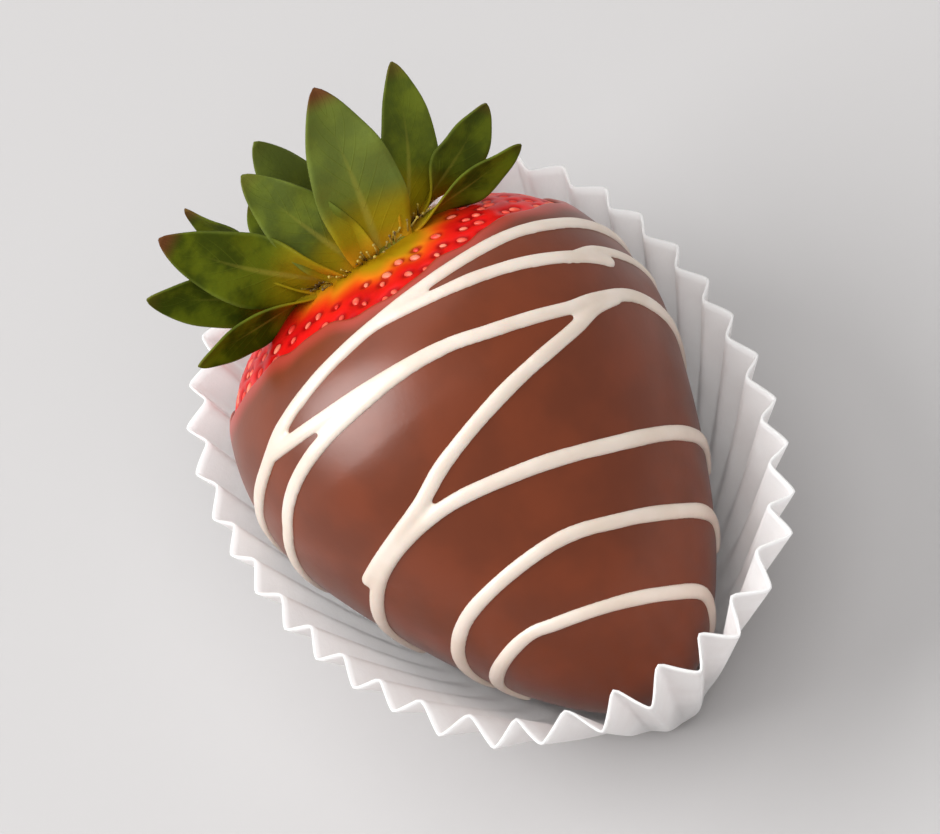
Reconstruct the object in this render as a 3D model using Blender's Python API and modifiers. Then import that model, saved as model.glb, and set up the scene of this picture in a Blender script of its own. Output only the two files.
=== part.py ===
"""Chocolate coated strawberry lying in its fluted paper case.

Metres, +Z up. The origin is the middle of the case's flat base. The fruit lies along Y, with its
tip low at the front (-Y) and its leafy crown raised at the back (+Y).

The fruit, its coat and its calyx are modelled upright, standing on the tip, and then laid down
about X. An angle about the fruit's axis is called a turn: 0 is the right side (+X), 90 degrees is
the side that ends up on top, and 180 degrees is the left side.
"""

import math

import bmesh
import bpy
from mathutils import Matrix, Vector

MM = 0.001
GAP = 0.3 * MM  # left between pieces that touch

# Outline of the coated fruit: one curve from the tip to the belly, one from there to the crown.
FRUIT_LENGTH = 49.6 * MM
FRUIT_RADIUS = 20.5 * MM
BELLY_HEIGHT = 31.6 * MM  # of the widest ring, from the tip
TIP_BLUNTNESS = 10.0 * MM
TIP_SWELL = 6.0 * MM
CROWN_SWELL = 14.0 * MM
CROWN_BREADTH = 13.1 * MM
CROWN_LEAN = math.radians(20.0)  # bend of the axis above the belly, towards the top side
FRUIT_TILT = math.radians(28.0)  # of the axis below the belly, above level
TIP_FORWARD = 21.0 * MM  # of the case's middle
DIMPLE_DEPTH = 1.0 * MM  # in the crown, under the calyx
DIMPLE_FROM = 1.7  # rise at its rim
DIMPLE_TO = 1.82  # rise at its floor

# Chocolate coat. A rise is 0 at the tip, 1 at the belly and 2 at the crown.
COAT_WALL = 1.5 * MM
COAT_EDGE = 0.5 * MM  # wall at the upper edge
EDGE_RISE = 1.43
EDGE_TAPER = 0.25  # rise over which the wall thins
EDGE_WAVES = ((1, 0.08, -1.95), (2, 0.06, 2.6), (4, 0.04, 2.95))  # count, height, start

ROUND_STEPS = 40  # faces around the fruit
COAT_RINGS = 16
FRUIT_RINGS = 22
EQUATOR_SLACK = 0.001  # of a unit sphere: what lies higher is above its equator

# Paper case. An outline has a front and a back arc, blended at the sides: an oval rim, and a base
# that narrows to the front as the fruit does. Each is (front radius, back radius, front centre,
# back centre, start and end of the blend), with the centres along Y and the angles from level.
CASE_RIM = (24.0 * MM, 24.0 * MM, -5.6 * MM, 10.8 * MM, math.radians(-60.0), math.radians(50.0))
CASE_BASE = (6.0 * MM, 16.0 * MM, -13.8 * MM, 5.0 * MM, math.radians(-80.0), math.radians(20.0))
CASE_HEIGHT = 22.0 * MM
CASE_WALL = 0.5 * MM
PLEATS = 37
PLEAT_DEPTH = 2.7 * MM  # fold to fold at the rim's front and back
SIDE_PLEAT_DEPTH = 1.4 * MM  # and at its sides
PLEAT_DROP = 0.5 * MM  # of the outer folds at the rim, and rise of the inner ones
PLEAT_START = 0.335  # pleats from the front to the first outer fold
FOLD_SHARE = 0.3  # of a pleat's pitch that is the blunt crest or trough
CASE_ROWS = 4
OUTLINE_STEPS = 720  # used to measure along an outline

# Calyx: a flat hub on the crown, a short stub of stalk, and sepals.
CALYX_SIDE = 1.2 * MM  # of the crown's middle
HUB_RADIUS = 6.4 * MM
HUB_HEIGHT = 1.6 * MM
HUB_STEPS = 24
HUB_RINGS = 8
STUB_RADIUS = 1.5 * MM
STUB_TAPER = 0.85  # top radius as a share of the bottom one
STUB_HEIGHT = 3.0 * MM
STUB_STEPS = 12
SEPAL_WALL = 0.5 * MM
SEPAL_RING = 5.4 * MM  # radius at which the sepals leave the hub
SEPAL_BOW = 0.12  # of a sepal's length
SEPAL_HOLLOW = 0.15  # of its half width
SEPAL_WAIST = 0.14  # where the sine arch of its width is entered at the hub
SEPAL_ROUNDING = 0.85  # power of that arch: under 1 the sides are fuller
SEPAL_ROWS = 6
SEPAL_COLUMNS = 2
SEPAL_TIP = 0.2 * MM
# For each: turn on the hub in degrees; the tip's place to the side, off the crown and towards
# the top side in mm; width in mm; and how far its face is twisted round to the top side.
SEPALS = (
    (155.0, -18.5, 1.8, 6.0, 5.2, 0.75),
    (168.0, -18.6, 8.9, 3.0, 5.4, 0.8),
    (142.0, -14.7, 12.8, 4.5, 7.4, 0.9),
    (205.0, -10.7, 12.7, -1.0, 4.0, 0.55),
    (115.0, -5.5, 13.0, 4.0, 6.2, 0.5),
    (260.0, -2.3, 13.6, 0.5, 6.4, 0.4),
    (84.0, 4.2, 15.7, 5.0, 8.2, 0.8),
    (22.0, 11.5, 13.0, 2.0, 5.4, 0.8),
    (14.0, 16.3, 5.2, 3.5, 5.4, 0.7),
    (28.0, 16.6, 0.6, 6.0, 5.0, 0.75),
    (235.0, -5.5, 8.0, -9.0, 6.0, 0.0),
    (285.0, 2.5, 8.5, -9.5, 6.0, 0.0),
    (330.0, 9.5, 8.0, -6.5, 6.0, 0.0),
)
TOP_SIDE = Vector((0.0, -1.0, 0.0))


def clear_scene():
    for old in list(bpy.data.objects):
        bpy.data.objects.remove(old)


def make_collection(name):
    made = bpy.data.collections.new(name)
    bpy.context.scene.collection.children.link(made)
    return made


def make_material(name, colour, roughness):
    made = bpy.data.materials.new(name)
    made.use_nodes = True
    shader = made.node_tree.nodes["Principled BSDF"]
    shader.inputs["Base Color"].default_value = (*colour, 1.0)
    shader.inputs["Roughness"].default_value = roughness
    shader.inputs["Metallic"].default_value = 0.0
    return made


def make_object(name, bm, collection, material=None):
    mesh = bpy.data.meshes.new(name)
    bm.to_mesh(mesh)
    bm.free()
    if material:
        mesh.materials.append(material)
        mesh.shade_smooth()
    made = bpy.data.objects.new(name, mesh)
    collection.objects.link(made)
    return made


def smoothstep(part):
    part = min(max(part, 0.0), 1.0)
    return part * part * (3.0 - 2.0 * part)


def outline(rise):
    """Place (radius, height) and outward normal of the coated fruit's outline."""
    if rise < 1.0:
        part = rise
        knots = (
            Vector((0.0, 0.0)),
            Vector((TIP_BLUNTNESS, 0.0)),
            Vector((FRUIT_RADIUS, BELLY_HEIGHT - TIP_SWELL)),
            Vector((FRUIT_RADIUS, BELLY_HEIGHT)),
        )
    else:
        part = rise - 1.0
        knots = (
            Vector((FRUIT_RADIUS, BELLY_HEIGHT)),
            Vector((FRUIT_RADIUS, BELLY_HEIGHT + CROWN_SWELL)),
            Vector((CROWN_BREADTH, FRUIT_LENGTH)),
            Vector((0.0, FRUIT_LENGTH)),
        )
    rest = 1.0 - part
    a, b, c, d = knots
    place = a * rest**3 + b * 3 * rest**2 * part + c * 3 * rest * part**2 + d * part**3
    along = (b - a) * rest**2 + (c - b) * 2 * rest * part + (d - c) * part**2
    along.normalize()
    return place, Vector((along.y, -along.x))


def bend(place):
    """Bend the fruit above its belly, so that the crown leans to the top side."""
    above = place.z - BELLY_HEIGHT
    if above <= 0.0:
        return place
    bend_radius = (FRUIT_LENGTH - BELLY_HEIGHT) / CROWN_LEAN
    angle = above / bend_radius
    reach = bend_radius + place.y
    along = reach * math.sin(angle)
    return Vector((place.x, reach * math.cos(angle) - bend_radius, BELLY_HEIGHT + along))


def skin_point(turn, rise, inset):
    """Point of the coated fruit's surface, moved inwards by inset."""
    place, normal = outline(rise)
    radius = max(place.x - normal.x * inset, 0.0)
    height = place.y - normal.y * inset
    return bend(Vector((radius * math.cos(turn), -radius * math.sin(turn), height)))


def edge_rise(turn):
    """Rise of the chocolate's uneven upper edge."""
    waves = (size * math.cos(count * turn + start) for count, size, start in EDGE_WAVES)
    return EDGE_RISE + sum(waves)


def coat_wall(turn, rise):
    """Thickness of the chocolate, which thins towards its edge."""
    cover = smoothstep((edge_rise(turn) - rise) / EDGE_TAPER)
    return COAT_EDGE + (COAT_WALL - COAT_EDGE) * cover


def fruit_inset(turn, rise):
    """Depth of the red fruit's skin under the coated outline, with the dimple in the crown."""
    dimple = smoothstep((rise - DIMPLE_FROM) / (DIMPLE_TO - DIMPLE_FROM))
    return coat_wall(turn, rise) + GAP + DIMPLE_DEPTH * dimple


def turn_of(place):
    return math.atan2(-place.y, place.x)


def polar_share(place):
    """0 at the bottom of a unit sphere, 0.5 at its equator and 1 at its top."""
    return math.acos(min(max(-place.z, -1.0), 1.0)) / math.pi


def build_coat(collection, material):
    """Outer and inner bowl, each half a sphere drawn onto the fruit, joined along the edge."""
    bm = bmesh.new()
    bmesh.ops.create_uvsphere(bm, u_segments=ROUND_STEPS, v_segments=2 * COAT_RINGS, radius=1.0)
    upper = [v for v in bm.verts if v.co.z > EQUATOR_SLACK]
    bmesh.ops.delete(bm, geom=upper, context="VERTS")
    outer = list(bm.verts)
    copied = bmesh.ops.duplicate(bm, geom=bm.verts[:] + bm.edges[:] + bm.faces[:])
    inner = [item for item in copied["geom"] if isinstance(item, bmesh.types.BMVert)]
    for vert in outer:
        turn = turn_of(vert.co)
        rise = edge_rise(turn) * 2.0 * polar_share(vert.co)
        vert.co = skin_point(turn, rise, 0.0)
    for vert in inner:
        turn = turn_of(vert.co)
        rise = edge_rise(turn) * 2.0 * polar_share(vert.co)
        vert.co = skin_point(turn, rise, coat_wall(turn, rise))
    rims = [edge for edge in bm.edges if edge.is_boundary]
    bmesh.ops.bridge_loops(bm, edges=rims)
    bmesh.ops.recalc_face_normals(bm, faces=bm.faces)
    return make_object("chocolate_coat", bm, collection, material)


def build_fruit(collection, material):
    """Whole red fruit, which runs inside the coat and stands out of it at the crown."""
    bm = bmesh.new()
    bmesh.ops.create_uvsphere(bm, u_segments=ROUND_STEPS, v_segments=FRUIT_RINGS, radius=1.0)
    for vert in bm.verts:
        turn = turn_of(vert.co)
        rise = 2.0 * polar_share(vert.co)
        vert.co = skin_point(turn, rise, fruit_inset(turn, rise))
    bmesh.ops.recalc_face_normals(bm, faces=bm.faces)
    return make_object("strawberry", bm, collection, material)


def sepal_half_width(part):
    """Share of a sepal's half width: narrow at the hub, widest before its middle, pointed."""
    arch = math.pi * (SEPAL_WAIST + (1.0 - SEPAL_WAIST) * part)
    return math.sin(arch) ** SEPAL_ROUNDING


def build_sepal(index, sepal, placed, collection):
    """One thin leaf from the hub to its tip, bowed outwards and hollowed along its middle."""
    turn, sideways, outwards, upwards, width, facing = sepal
    turn = math.radians(turn)
    spoke = Vector((math.cos(turn), -math.sin(turn), 0.0))
    around = Vector((-math.sin(turn), -math.cos(turn), 0.0))
    root = spoke * SEPAL_RING
    reach = Vector((sideways, -upwards, outwards)) * MM - root
    bow = spoke * SEPAL_BOW * reach.length
    bm = bmesh.new()
    bmesh.ops.create_grid(bm, x_segments=SEPAL_ROWS, y_segments=SEPAL_COLUMNS, size=1.0)
    for vert in bm.verts:
        part = (vert.co.x + 1.0) / 2.0
        side = vert.co.y
        spine = root + reach * part + bow * 4.0 * part * (1.0 - part)
        along = (reach + bow * 4.0 * (1.0 - 2.0 * part)).normalized()
        face = along.cross(around).normalized().lerp(TOP_SIDE, facing * smoothstep(2.0 * part))
        across = face.cross(along).normalized()
        half = sepal_half_width(part) * width * MM / 2.0 + SEPAL_TIP
        hollow = along.cross(across) * -SEPAL_HOLLOW * half * side * side
        vert.co = placed @ (spine + across * side * half + hollow)
    made = make_object(f"sepal_{index:02d}", bm, collection)
    solid = made.modifiers.new("thickness", "SOLIDIFY")
    solid.thickness = SEPAL_WALL
    solid.offset = 0.0
    solid.use_even_offset = True
    return made


def build_calyx(collection, cutters, material):
    """Hub and stub of stalk, with every sepal joined on."""
    seat = bend(Vector((0.0, 0.0, FRUIT_LENGTH)))
    lean = Matrix.Rotation(CROWN_LEAN, 4, "X")
    above = Matrix.Translation((CALYX_SIDE, 0.0, HUB_HEIGHT / 2.0 - COAT_EDGE - DIMPLE_DEPTH))
    placed = Matrix.Translation(seat) @ lean @ above
    bm = bmesh.new()
    bmesh.ops.create_uvsphere(bm, u_segments=HUB_STEPS, v_segments=HUB_RINGS, radius=1.0)
    flat = Matrix.Diagonal((HUB_RADIUS, HUB_RADIUS, HUB_HEIGHT / 2.0, 1.0))
    bmesh.ops.transform(bm, matrix=placed @ flat, verts=bm.verts)
    calyx = make_object("calyx", bm, collection, material)

    bm = bmesh.new()
    bmesh.ops.create_cone(
        bm,
        cap_ends=True,
        segments=STUB_STEPS,
        radius1=STUB_RADIUS,
        radius2=STUB_TAPER * STUB_RADIUS,
        depth=STUB_HEIGHT,
        matrix=placed @ Matrix.Translation((0.0, 0.0, STUB_HEIGHT / 2.0)),
    )
    joined = [make_object("stalk_stub", bm, cutters)]
    for index, sepal in enumerate(SEPALS, 1):
        joined.append(build_sepal(index, sepal, placed, cutters))
    for piece in joined:
        piece.hide_render = True
        piece.display_type = "WIRE"
        union = calyx.modifiers.new(piece.name, "BOOLEAN")
        union.operation = "UNION"
        union.solver = "MANIFOLD"  # EXACT loses the calyx where three sepals overlap
        union.object = piece
    return [calyx, *joined]


def outline_points(front_radius, back_radius, front_centre, back_centre, blend_from, blend_to):
    """Points round an outline from the front, with the outward direction at each."""
    points = []
    for step in range(OUTLINE_STEPS):
        bearing = 2.0 * math.pi * step / OUTLINE_STEPS - math.pi / 2.0
        from_front = bearing if bearing <= math.pi / 2.0 else math.pi - bearing
        share = smoothstep((from_front - blend_from) / (blend_to - blend_from))
        radius = front_radius + (back_radius - front_radius) * share
        centre = front_centre + (back_centre - front_centre) * share
        out = Vector((math.cos(bearing), math.sin(bearing), 0.0))
        points.append((out * radius + Vector((0.0, centre, 0.0)), out))
    return points


def outline_place(points, share):
    """Point and outward direction at a share of the outline's whole length."""
    lengths = [(points[i][0] - points[i - 1][0]).length for i in range(len(points))]
    left = (share % 1.0) * sum(lengths)
    index = 0
    while left > lengths[(index + 1) % len(points)]:
        index += 1
        left -= lengths[index % len(points)]
    place, out = points[index]
    following = (index + 1) % len(points)
    part = left / lengths[following]
    return place.lerp(points[following][0], part), out


def pleat_share(step):
    """Place of a quarter pleat step, as a share of the outline: two steps close at each fold."""
    pair, second = divmod(step, 2)
    return (PLEAT_START + pair / 2.0 + (FOLD_SHARE / 2.0 if second else 0.0)) / PLEATS


def build_case(collection, material):
    """Flat-based cup with a pleated, flared wall: a cylinder whose rings are drawn onto outlines."""
    steps = 4 * PLEATS
    base_points = outline_points(*CASE_BASE)
    rim_points = outline_points(*CASE_RIM)
    bm = bmesh.new()
    bmesh.ops.create_cone(
        bm,
        cap_ends=True,
        cap_tris=True,
        segments=steps,
        radius1=1.0,
        radius2=1.0,
        depth=1.0,
        matrix=Matrix.Translation((0.0, 0.0, 0.5)),
    )
    lid = [v for v in bm.verts if v.co.z > 0.5 and v.co.xy.length < 0.5]
    bmesh.ops.delete(bm, geom=lid, context="VERTS")
    uprights = [e for e in bm.edges if abs(e.verts[0].co.z - e.verts[1].co.z) > 0.5]
    bmesh.ops.subdivide_edges(bm, edges=uprights, cuts=CASE_ROWS - 1, use_grid_fill=True)
    for vert in bm.verts:
        if vert.co.xy.length < 0.5:
            continue
        level = vert.co.z
        step = round(math.atan2(vert.co.y, vert.co.x) / (2.0 * math.pi) * steps) % steps
        fold = 1.0 if step % 4 < 2 else -1.0
        base, _ = outline_place(base_points, pleat_share(step))
        rim, out = outline_place(rim_points, pleat_share(step))
        depth = SIDE_PLEAT_DEPTH + (PLEAT_DEPTH - SIDE_PLEAT_DEPTH) * out.y * out.y
        place = base.lerp(rim, level) + out * fold * level * depth / 2.0
        place.z = level * (CASE_HEIGHT - fold * PLEAT_DROP)
        vert.co = place
    bmesh.ops.recalc_face_normals(bm, faces=bm.faces)
    case = make_object("paper_case", bm, collection, material)
    solid = case.modifiers.new("paper", "SOLIDIFY")
    solid.thickness = CASE_WALL
    solid.offset = -1.0
    solid.use_even_offset = True
    return case


def lay_down(pieces, coat):
    """Tip the upright pieces over, and set the coat's lowest point just above the case's base."""
    turned = Matrix.Rotation(FRUIT_TILT - math.pi / 2.0, 4, "X")
    lowest = min((turned @ vert.co).z for vert in coat.data.vertices)
    place = Matrix.Translation((0.0, -TIP_FORWARD, CASE_WALL + GAP - lowest)) @ turned
    for piece in pieces:
        piece.matrix_world = place


def main():
    clear_scene()
    parts = make_collection("chocolate_coated_strawberry")
    cutters = make_collection("calyx_pieces")
    chocolate = make_material("milk_chocolate", (0.190, 0.052, 0.024), 0.32)
    red = make_material("strawberry_red", (0.650, 0.012, 0.008), 0.30)
    green = make_material("leaf_green", (0.058, 0.096, 0.008), 0.50)
    paper = make_material("white_paper", (0.830, 0.790, 0.780), 0.75)
    coat = build_coat(parts, chocolate)
    fruit = build_fruit(parts, red)
    calyx = build_calyx(parts, cutters, green)
    build_case(parts, paper)
    lay_down([coat, fruit, *calyx], coat)


main()
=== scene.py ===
# %% [markdown]
# # A chocolate coated strawberry in its paper case
# A large strawberry has been dipped in milk chocolate up to its shoulder, drizzled with white
# chocolate and laid in a fluted paper case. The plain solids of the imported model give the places
# and sizes. This script makes the fine surfaces: glossy chocolate, poured lines, red flesh with
# its seeds, soft leaves and thin folded paper.

import math
import random

import bpy
import numpy as np
from mathutils import Matrix, Vector, noise
from mathutils.bvhtree import BVHTree


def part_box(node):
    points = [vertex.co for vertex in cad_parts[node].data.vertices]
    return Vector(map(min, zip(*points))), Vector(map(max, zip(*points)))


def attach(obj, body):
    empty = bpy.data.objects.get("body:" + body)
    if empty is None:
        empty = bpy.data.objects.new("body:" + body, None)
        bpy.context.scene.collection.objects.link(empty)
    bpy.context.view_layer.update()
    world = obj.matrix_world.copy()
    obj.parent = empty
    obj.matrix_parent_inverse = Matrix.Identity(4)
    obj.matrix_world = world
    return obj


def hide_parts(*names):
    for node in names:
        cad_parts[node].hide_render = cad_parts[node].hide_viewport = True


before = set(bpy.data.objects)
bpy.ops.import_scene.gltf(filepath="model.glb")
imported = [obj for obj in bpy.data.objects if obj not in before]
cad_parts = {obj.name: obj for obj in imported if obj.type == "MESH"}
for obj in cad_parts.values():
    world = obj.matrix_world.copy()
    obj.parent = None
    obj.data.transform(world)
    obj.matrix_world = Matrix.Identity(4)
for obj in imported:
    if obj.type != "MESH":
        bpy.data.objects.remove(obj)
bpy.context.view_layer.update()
MM = 0.001


def in_mm(lengths):
    """Lengths in millimetres, rounded to be printed."""
    return [round(length / MM, 1) for length in lengths]


print("nodes:", sorted(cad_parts))

# %% [markdown]
# Blender's operators act on whatever is selected, and the loaded nodes start out selected. These
# helpers start each piece from a clean selection, and leave it at the origin, placed by its mesh.

# %% Helpers for selecting, applying and joining
def select_only(*pieces):
    bpy.ops.object.select_all(action="DESELECT")
    for piece in pieces:
        piece.select_set(True)
    bpy.context.view_layer.objects.active = pieces[0]


def new_piece(name):
    """The object that the last operator added, with its own name and mesh name."""
    piece = bpy.context.view_layer.objects.active
    piece.name = name
    piece.data.name = name
    return piece


def add_ball(name, steps, rings, radius=1.0):
    """A sphere to shape a piece from, with nothing else selected."""
    bpy.ops.object.select_all(action="DESELECT")
    bpy.ops.mesh.primitive_uv_sphere_add(segments=steps, ring_count=rings, radius=radius)
    return new_piece(name)


def apply_modifier(piece, kind, **settings):
    """Add one modifier, set it and apply it."""
    select_only(piece)
    modifier = piece.modifiers.new(kind.lower(), kind)
    for key, value in settings.items():
        setattr(modifier, key, value)
    bpy.ops.object.modifier_apply(modifier=modifier.name)


def join_pieces(name, pieces):
    select_only(*pieces)
    if len(pieces) > 1:
        bpy.ops.object.join()
    return new_piece(name)


def move_points(piece, place_of):
    """Set every point of a mesh to place_of(point)."""
    mesh = piece.data
    places = [place_of(vert.co.copy()) for vert in mesh.vertices]
    mesh.vertices.foreach_set("co", np.array(places, np.float32).ravel())
    mesh.update()


def keep_value(piece, name, values):
    """Keep one number on every point of a mesh, for its material."""
    attribute = piece.data.attributes.new(name, "FLOAT", "POINT")
    attribute.data.foreach_set("value", values)


def settle(piece, node_slot, *replaced):
    """A smooth piece that rides with the part and may stand for CAD nodes. Its node_slot is not used.
    """
    select_only(piece)
    bpy.ops.object.shade_smooth()
    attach(piece, "root")
    if replaced:
        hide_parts(*replaced)
    print(piece.name, len(piece.data.polygons), "faces")


# %% [markdown]
# ## The fruit's form
# Coat, flesh and drizzle all follow one surface, so it is written once, with the same driving
# sizes as the solids. A point on it has a turn about the fruit's axis (0 at the right, 90 degrees
# on the upper side, 180 at the left) and a rise: 0 at the tip, 1 at the widest ring and 2 at the
# crown. The fruit is described standing on its tip, and then laid down.

# %% Driving sizes of the fruit
FRUIT_LENGTH = 49.6 * MM
FRUIT_RADIUS = 20.5 * MM
BELLY_HEIGHT = 31.6 * MM
TIP_BLUNTNESS = 10.0 * MM
TIP_SWELL = 6.0 * MM
CROWN_SWELL = 14.0 * MM
CROWN_BREADTH = 13.1 * MM
CROWN_LEAN = math.radians(20.0)
FRUIT_TILT = math.radians(28.0)
TIP_FORWARD = 21.0 * MM
EDGE_RISE = 1.43
EDGE_WAVES = ((1, 0.08, -1.95), (2, 0.06, 2.6), (4, 0.04, 2.95))  # count, height, start
UNDERSIDE = math.radians(270.0)  # turn of the line that the laid fruit would rest on
UNDERSIDE_STEPS = 400


def smoothstep(part):
    part = min(max(part, 0.0), 1.0)
    return part * part * (3.0 - 2.0 * part)


def outline(rise):
    """Place (radius, height) and outward normal on the fruit's outline."""
    if rise < 1.0:
        part = rise
        knots = ((0.0, 0.0), (TIP_BLUNTNESS, 0.0), (FRUIT_RADIUS, BELLY_HEIGHT - TIP_SWELL))
        knots += ((FRUIT_RADIUS, BELLY_HEIGHT),)
    else:
        part = rise - 1.0
        knots = ((FRUIT_RADIUS, BELLY_HEIGHT), (FRUIT_RADIUS, BELLY_HEIGHT + CROWN_SWELL))
        knots += ((CROWN_BREADTH, FRUIT_LENGTH), (0.0, FRUIT_LENGTH))
    a, b, c, d = (Vector(knot) for knot in knots)
    rest = 1.0 - part
    place = a * rest**3 + b * 3 * rest**2 * part + c * 3 * rest * part**2 + d * part**3
    along = (b - a) * rest**2 + (c - b) * 2 * rest * part + (d - c) * part**2
    along.normalize()
    return place, Vector((along.y, -along.x))


def bend(place):
    """Lean the crown to the upper side."""
    above = place.z - BELLY_HEIGHT
    if above <= 0.0:
        return place
    bend_radius = (FRUIT_LENGTH - BELLY_HEIGHT) / CROWN_LEAN
    angle = above / bend_radius
    reach = bend_radius + place.y
    along = reach * math.sin(angle)
    return Vector((place.x, reach * math.cos(angle) - bend_radius, BELLY_HEIGHT + along))


def upright_skin(turn, rise, inset=0.0):
    place, normal = outline(min(max(rise, 0.0), 2.0))
    radius = max(place.x - normal.x * inset, 0.0)
    height = place.y - normal.y * inset
    return bend(Vector((radius * math.cos(turn), -radius * math.sin(turn), height)))


def edge_rise(turn):
    waves = (size * math.cos(count * turn + start) for count, size, start in EDGE_WAVES)
    return EDGE_RISE + sum(waves)


laid = Matrix.Rotation(FRUIT_TILT - math.pi / 2.0, 4, "X")
rises = (2.0 * step / UNDERSIDE_STEPS for step in range(UNDERSIDE_STEPS + 1))
lowest = min((laid @ upright_skin(UNDERSIDE, rise)).z for rise in rises)
lay_down = Matrix.Translation((0.0, -TIP_FORWARD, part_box("chocolate_coat")[0].z - lowest)) @ laid


def skin(turn, rise, inset=0.0):
    """Point of the laid fruit's surface, moved inwards by inset."""
    return lay_down @ upright_skin(turn, rise, inset)


def turn_of(place):
    return math.atan2(-place.y, place.x)


def polar_share(place):
    """0 at the bottom of a unit sphere and 1 at its top."""
    return math.acos(min(max(-place.z, -1.0), 1.0)) / math.pi


print("tip mm:", in_mm(skin(0.0, 0.0)), "crown mm:", in_mm(skin(0.0, 2.0)))

# %% [markdown]
# ## Chocolate coat
# Dipped chocolate is a skin about a millimetre thick. It ends in a soft bead where it ran back
# before it set, and its edge is never level. One closed sphere is enough for both walls: its lower
# rings are drawn over the fruit, the next few are rolled round the bead, and the rest go back
# down inside.

# %% Model the coat
COAT_STEPS = 220
COAT_RINGS = 220
OUTER_SHARE = 0.74  # of the sphere's rings that lie outside
BEAD_SHARE = 0.06
COAT_INSIDE = 1.3 * MM
BEAD_RADIUS = 0.3 * MM
BEAD_SWELL = 0.08 * MM
BEAD_REACH = 1.1 * MM
CALM_REACH = 3.3 * MM  # from the edge, where the coat's unevenness fades out
INSIDE_BLEND = 6.0  # how soon the wall reaches its full thickness
THIN_REACH = 1.3 * MM  # from the edge, where the red shows through a little
RISE_LENGTH = 16.0 * MM  # surface length of one unit of rise near the edge
FINE_WAVES = ((9, 0.010, 0.7), (14, 0.008, 2.1), (23, 0.005, 4.4))
COAT_ROLL = ((9.0 * MM, 0.10 * MM), (3.4 * MM, 0.022 * MM))  # size and height of its unevenness


def fine_edge(turn):
    waves = (size * math.cos(count * turn + start) for count, size, start in FINE_WAVES)
    return edge_rise(turn) + sum(waves)


def rolling(place, sizes):
    """Gentle unevenness of a surface at a place."""
    return sum(height * noise.noise(place / size) for size, height in sizes)


def coat_point(place):
    turn = turn_of(place)
    share = polar_share(place)
    edge = fine_edge(turn)
    if share <= OUTER_SHARE:
        rise = edge * share / OUTER_SHARE
        below = (edge - rise) * RISE_LENGTH
        lift = BEAD_SWELL * math.exp(-((below / BEAD_REACH) ** 2))
        lift += rolling(skin(turn, rise), COAT_ROLL) * smoothstep(below / CALM_REACH)
        return skin(turn, rise, -lift)
    if share <= OUTER_SHARE + BEAD_SHARE:
        swing = math.pi * (share - OUTER_SHARE) / BEAD_SHARE
        rise = edge + BEAD_RADIUS * math.sin(swing) / RISE_LENGTH
        return skin(turn, rise, BEAD_RADIUS * (1.0 - math.cos(swing)) - BEAD_SWELL)
    back = (share - OUTER_SHARE - BEAD_SHARE) / (1.0 - OUTER_SHARE - BEAD_SHARE)
    deep = 2.0 * BEAD_RADIUS - BEAD_SWELL
    deep += (COAT_INSIDE - deep) * smoothstep(INSIDE_BLEND * back)
    return skin(turn, edge * (1.0 - back), deep)


def thinness(place):
    """1 at the coat's edge and 0 where the chocolate hides all red."""
    edge = fine_edge(turn_of(place))
    below = abs(1.0 - polar_share(place) / OUTER_SHARE) * edge * RISE_LENGTH
    return 1.0 - smoothstep(below / THIN_REACH)


coat = add_ball("chocolate_shell", COAT_STEPS, COAT_RINGS)
thin = [thinness(vert.co) for vert in coat.data.vertices]
move_points(coat, coat_point)
keep_value(coat, "thin", thin)
settle(coat, "milk_chocolate", "chocolate_coat")

# %% [markdown]
# ## Red flesh
# Above the chocolate a band of ripe flesh shows. Each seed sits in a small pit, and the flesh
# swells between the pits. Seeds on a strawberry follow the spiral of the golden angle, at equal
# areas, so the same rule places the pits and the seeds.

# %% Places of the seeds
GOLDEN_ANGLE = math.pi * (3.0 - math.sqrt(5.0))
SEED_AREA = 4.3 * MM * MM
FLESH_INSET = 0.42 * MM
FLESH_INSIDE = 1.55 * MM
SEEDS_FROM = 1.72  # rise of the first seeds, by the neck
SEEDS_TO = 1.28
RISE_STEPS = 400
NECK_RISE = 0.35 * MM  # of the flesh towards the leaves
NECK_FROM = 1.72
NECK_TO = 1.86
HIDDEN_FROM = 0.02  # rise under the coat's edge, where the flesh starts to draw in
HIDDEN_REACH = 0.06
STRAY_TURN = 0.04  # of a seed from its place on the spiral
STRAY_RISE = 0.025


def flesh_inset(turn, rise):
    hidden = smoothstep((fine_edge(turn) - HIDDEN_FROM - rise) / HIDDEN_REACH)
    neck = smoothstep((rise - NECK_FROM) / (NECK_TO - NECK_FROM))
    return FLESH_INSET + (FLESH_INSIDE - FLESH_INSET) * hidden - NECK_RISE * neck


def seed_places():
    """Turn and rise of each seed, from the neck down to just under the chocolate."""
    rng = random.Random(5)
    rises = [2.0 - 2.0 * step / RISE_STEPS for step in range(RISE_STEPS)]
    area = 0.0
    found = []
    for upper, lower in zip(rises, rises[1:]):
        a, b = outline(upper)[0], outline(lower)[0]
        area += math.pi * (a.x + b.x) * (a - b).length
        if lower < SEEDS_TO:
            break
        while area > SEED_AREA * (len(found) + 0.5):
            turn = len(found) * GOLDEN_ANGLE + rng.uniform(-STRAY_TURN, STRAY_TURN)
            found.append((turn, lower + rng.uniform(-STRAY_RISE, STRAY_RISE)))
    return [(turn, rise) for turn, rise in found if rise < SEEDS_FROM]


seeds_at = seed_places()
print(len(seeds_at), "seeds")

# %% [markdown]
# The flesh is one closed sphere again, drawn onto the fruit, with its rings close together only where
# it shows. Pits made by hand would take hours, so every point is sunk by how near it lies to them. The
# same number is kept on the point, for the painted shade that darkens the red in the pits.

# %% Model the flesh with a pit at each seed
FLESH_STEPS = 420
FLESH_RINGS = 150
HIDDEN_SHARE = 0.18  # of the rings, for what the chocolate hides
SHOWN_FROM = 1.22  # rise from which the rings are close together
PIT_DEPTH = 0.32 * MM
PIT_RADIUS = 0.6 * MM
PIT_REACH = 2.6  # in pit radii

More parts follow.
